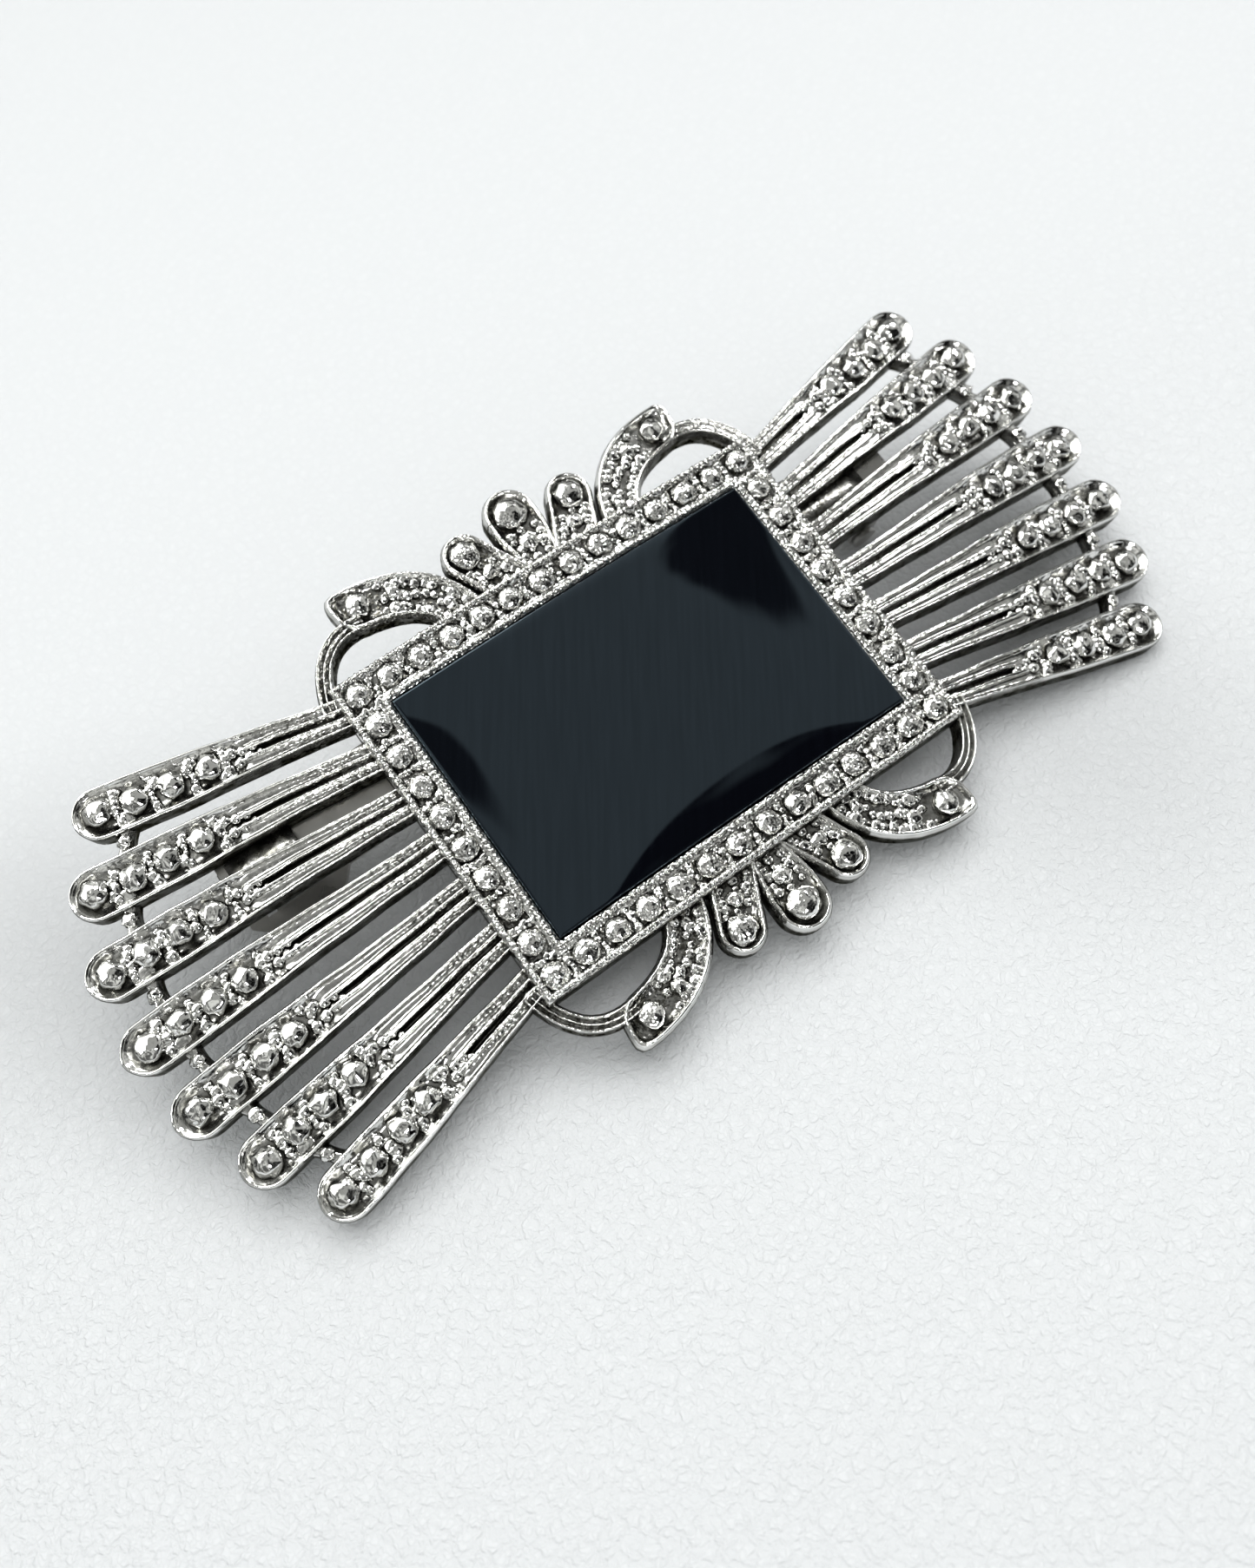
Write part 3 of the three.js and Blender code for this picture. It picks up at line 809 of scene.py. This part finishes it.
# ---- stage ----
CAMERA_PLACE = (-33.5, -25.9, 107.8 + FRAME_TOP)
CAMERA_FORWARD = (0.24136, 0.18600, -0.95244)
CAMERA_UP = (0.54120, 0.78886, 0.29120)
PAINTED_SHADOWS = ((-52, 18, 0.24), (32, -27, 0.2))  # place and darkness of two painted soft shadows on the floor's colour
# the painted shadows are centred this far below the part and reach this far
PAINTED_SHADOW_HEIGHT = -8
PAINTED_SHADOW_RADIUS = 28
FADE_START = 170  # the floor fades out between these distances from its middle
FADE_END = 300
CEILING = 0.34  # brightness of the parts of the room that mirrors see
WALL = 2.3
PANES = [  # place above the part, width and depth of each pane
    (-130, 260, 230, 50, 90),
    (50, 290, 240, 110, 60),
    (-290, 130, 160, 70, 60),
    (230, 150, 210, 50, 70),
    (-60, -190, 240, 50, 50),
]
PANE_WATTS = 0.95 / 1e4  # for each square millimetre


def look_at(obj, forward, up):
    """Turns a camera or lamp so that it looks along forward."""
    back = -Vector(forward).normalized()
    right = Vector(up).cross(back).normalized()
    upright = back.cross(right)
    obj.rotation_euler = Matrix((right, upright, back)).transposed().to_euler()


def build_camera():
    """A close camera at the lower left, looking down across the part."""
    data = bpy.data.cameras.new("camera")
    data.lens = 32.24
    data.sensor_width = 36
    data.clip_start = 5 * MM
    data.clip_end = 20
    data.dof.use_dof = True
    data.dof.focus_distance = 112 * MM
    data.dof.aperture_fstop = 28.0
    camera = bpy.data.objects.new("camera", data)
    bpy.context.scene.collection.objects.link(camera)
    camera.location = Vector(CAMERA_PLACE) * MM
    look_at(camera, CAMERA_FORWARD, CAMERA_UP)
    bpy.context.scene.camera = camera


def rest_plane():
    """The surface the barrette lies on: it touches the hinge end, the catch and the outermost rib tip."""
    root, along, length = rib_line(-OUTER_RIB)
    tip = root + along * length + np.array([0.3, -RIB_TIP])
    rib_point = bend(np.array([[tip[0], tip[1], 0.0]]))[0]
    hinge_point = np.array([(PIN_LOW[0] + PIN_HIGH[0]) / 2, BASE_LOW[1], BASE_LOW[2]])
    catch_point = np.array([TAB_LOW[0] + 1, (TAB_LOW[1] + TAB_HIGH[1]) / 2, TAB_LOW[2]])
    normal = np.cross(rib_point - catch_point, hinge_point - catch_point)
    normal /= np.linalg.norm(normal)
    if normal[2] < 0:
        normal = -normal
    return Vector(catch_point * MM), Vector(normal)


def leather_material():
    """White pebbled leatherette with two painted soft shadows darkening its colour; it fades out far from
    the part and is not seen from below.
    """
    material, n = new_material("white_leatherette")
    place = n.add("ShaderNodeTexCoord").outputs["Object"]
    warp = n.add("ShaderNodeTexNoise", {"Vector": place, "Scale": 700.0, "Detail": 3.0}).outputs["Color"]
    shifted = n.add("ShaderNodeVectorMath", {0: warp, 1: (0.0014, 0.0014, 0.0014)}, operation="MULTIPLY")
    moved = n.add("ShaderNodeVectorMath", {0: place, 1: shifted.outputs[0]}, operation="ADD").outputs[0]
    large = n.add("ShaderNodeTexVoronoi", {"Vector": moved, "Scale": 800.0}, feature="DISTANCE_TO_EDGE")
    small = n.add("ShaderNodeTexVoronoi", {"Vector": moved, "Scale": 2100.0}, feature="DISTANCE_TO_EDGE")
    pebble = n.range(large.outputs["Distance"], 0.0, 0.25)
    pore = n.range(small.outputs["Distance"], 0.0, 0.25)
    spot = n.add("ShaderNodeNewGeometry").outputs["Position"]
    worn = n.range(n.dot(spot, (0, 1, 0)), -10 * MM, 40 * MM, 0.45, 0.25)
    coarse = n.add("ShaderNodeBump", {"Strength": worn, "Distance": 0.13 * MM, "Height": pebble}).outputs[0]
    fine = {"Strength": worn, "Distance": 0.07 * MM, "Height": pore, "Normal": coarse}
    bump = n.add("ShaderNodeBump", fine).outputs[0]
    tone = n.mix(n.math("MULTIPLY", pebble, pore), (0.83, 0.845, 0.85, 1), (0.865, 0.88, 0.885, 1))
    # painted shadows: the leatherette's colour is darkened round two spots near the part
    for x, y, depth in PAINTED_SHADOWS:
        middle = (x * MM, y * MM, PAINTED_SHADOW_HEIGHT * MM)
        aside = n.add("ShaderNodeVectorMath", {0: spot, 1: middle}, operation="DISTANCE")
        painted_shadow = n.range(aside.outputs["Value"], 0, PAINTED_SHADOW_RADIUS * MM, depth, 0.0)
        tone = n.mix(painted_shadow, tone, (0, 0, 0, 1))
    inputs = {"Base Color": tone, "Roughness": 0.5, "Normal": bump, "Specular IOR Level": 0.35}
    leather = n.add("ShaderNodeBsdfPrincipled", inputs).outputs[0]
    clear = n.add("ShaderNodeBsdfTransparent").outputs[0]
    behind = n.add("ShaderNodeNewGeometry").outputs["Backfacing"]
    seen = n.add("ShaderNodeLightPath").outputs["Is Camera Ray"]
    away = n.add("ShaderNodeVectorMath", {0: place}, operation="LENGTH").outputs["Value"]
    faded = n.math("MAXIMUM", behind, n.range(away, FADE_START * MM, FADE_END * MM))
    share = n.math("MULTIPLY", faded, seen)
    finish_material(n, n.add("ShaderNodeMixShader", {0: share, 1: leather, 2: clear}).outputs[0])
    return material


def build_floor():
    """A wide leatherette sheet just under the part."""
    gap = 0.02
    point, normal = rest_plane()
    bpy.ops.mesh.primitive_plane_add(size=3.0)
    floor = bpy.context.object
    floor.name = "floor"
    floor.data.materials.append(leather_material())
    floor.rotation_euler = normal.to_track_quat("Z", "Y").to_euler()
    floor.location = point - normal * gap * MM
    lower_with_arm(floor, normal)


def lower_with_arm(floor, normal):
    """Drops the floor clear of the arm when the arm is open."""
    drop = FLOOR_DROP * MM
    follow = floor.constraints.new("TRANSFORM")
    follow.target = frame["bodies"]["arm"]
    follow.map_from = "ROTATION"
    follow.from_min_y_rot = -ARM_SWING
    follow.from_max_y_rot = 0
    follow.map_to = "LOCATION"
    follow.map_to_x_from = "Y"
    follow.map_to_y_from = "Y"
    follow.map_to_z_from = "Y"
    follow.to_min_x = -normal.x * drop
    follow.to_min_y = -normal.y * drop
    follow.to_min_z = -normal.z * drop
    follow.to_max_x = 0
    follow.to_max_y = 0
    follow.to_max_z = 0


def soft_box(name, location, size, watts):
    """A rectangular lamp aimed at the part, which mirrors do not see."""
    data = bpy.data.lights.new(name, "AREA")
    data.shape = "RECTANGLE"
    data.size, data.size_y = (s * MM for s in size)
    data.energy = watts
    lamp = bpy.data.objects.new(name, data)
    bpy.context.scene.collection.objects.link(lamp)
    lamp.location = Vector(location) * MM
    look_at(lamp, -Vector(location), (0, 1, 0.01))
    lamp.visible_glossy = False
    return lamp


def mirrored_room(n):
    """What mirrors see: a grey ceiling, a bright wall, two dark openings and a dark side."""
    direction = n.add("ShaderNodeTexCoord").outputs["Generated"]
    patch = n.add("ShaderNodeTexNoise", {"Vector": direction, "Scale": 4.0, "Detail": 2.0}).outputs["Fac"]
    overhead = n.range(n.dot(direction, (0.25, 0.12, 0.96)), 0.80, 0.90)
    uneven = n.math("MULTIPLY", n.range(patch, 0.42, 0.58, 0.3, 2.2), CEILING)
    around = n.math("MULTIPLY", n.math("SUBTRACT", 1.0, overhead), uneven)
    ceiling = n.math("ADD", n.math("MULTIPLY", overhead, CEILING), around)
    wall = n.math("MULTIPLY", n.range(n.dot(direction, (-0.35, 0.87, 0.35)), 0.80, 0.84), WALL)
    lit = n.math("ADD", ceiling, wall)
    ragged = n.math("MULTIPLY", patch, 0.03)
    to_doorway = n.math("ADD", n.dot(direction, (0.55, 0.38, 0.745)), ragged)
    doorway = n.range(to_doorway, 0.998, 1.003, 1.0, 0.06)
    to_corner = n.math("ADD", n.dot(direction, (-0.14, 0.308, 0.941)), ragged)
    corner = n.range(to_corner, 1.0118, 1.0155, 1.0, 0.1)
    lit = n.math("MULTIPLY", lit, n.math("MULTIPLY", doorway, corner))
    aside = n.math("SUBTRACT", n.dot(direction, (1, 0, 0)), 0.32)
    arched = n.math("MULTIPLY", n.math("MULTIPLY", aside, aside), 3.0)
    curtain = n.range(n.math("ADD", n.dot(direction, (0, 1, 0)), arched), 0.0, 0.015)
    dark_side = n.math("MULTIPLY", n.math("SUBTRACT", 1.0, curtain), n.range(patch, 0.48, 0.62, 0.0, 0.2))
    shown = n.math("ADD", n.math("MULTIPLY", lit, curtain), dark_side)
    low = n.range(n.dot(direction, (0, 0, 1)), -0.1, 0.5, 0.25, 1.0)
    return n.math("MULTIPLY", shown, low)


def build_world():
    """A pale room and backdrop for the eye, and the mirrored room for everything polished."""
    world = bpy.data.worlds.new("room")
    bpy.context.scene.world = world
    world.use_nodes = True
    n = Nodes(world.node_tree)

    def light(colour, strength):
        """An even light from all sides."""
        return n.add("ShaderNodeBackground", {"Color": colour, "Strength": strength}).outputs[0]

    glossy = light((0.99, 1.0, 0.96, 1), mirrored_room(n))
    plain = light((0.86, 0.88, 0.88, 1), 0.6)
    backdrop = light((0.78, 0.80, 0.80, 1), 1.0)
    path = n.add("ShaderNodeLightPath")
    mixed = n.add("ShaderNodeMixShader", {0: path.outputs["Is Glossy Ray"], 1: plain, 2: glossy}).outputs[0]
    seen = n.add("ShaderNodeMixShader", {0: path.outputs["Is Camera Ray"], 1: mixed, 2: backdrop}).outputs[0]
    n.add("ShaderNodeOutputWorld", {"Surface": seen})


def sparkle(name, location, size, watts, receivers):
    """A small bright pane that only the metal pieces see, for their sharp highlights."""
    lamp = soft_box(name, location, size, watts)
    lamp.visible_glossy = True
    lamp.light_linking.receiver_collection = receivers


# ---- assembly ----
silver = silver_material()
black = panel_material()
steel = steel_material("nickel_plate", (0.62, 0.61, 0.59, 1), 0.2, 0.36)
spring = steel_material("spring_strip", (0.56, 0.56, 0.55, 1), 0.24, 0.4)
solder = steel_material("soft_solder", (0.30, 0.29, 0.27, 1), 0.45, 0.7)

casting = build_casting(silver)
build_panel(black)
for name in ("clip_base", "clip_arm", "hinge_pin", "spring_rivet", "catch_rivet"):
    dress(name, steel, 0.1)
for name in ("tension_spring", "catch_plate", "catch_tab_back", "catch_tab_front"):
    dress(name, spring, 0.08)
for name in ("solder_catch_end", "solder_hinge_end"):
    dress(name, solder, 0.02)

build_floor()
build_camera()
build_world()
soft_box("window", (80, 240, 480), (700, 560), 2.37)
soft_box("fill", (350, -100, 380), (120, 120), 0.12)

metal = bpy.data.collections.new("metal")
metal.objects.link(casting)
for k, (x, y, z, wide, deep) in enumerate(PANES):
    sparkle(f"pane_{k}", (x, y, z), (wide, deep), PANE_WATTS * wide * deep, metal)

scene = bpy.context.scene
scene.view_settings.view_transform = "Standard"
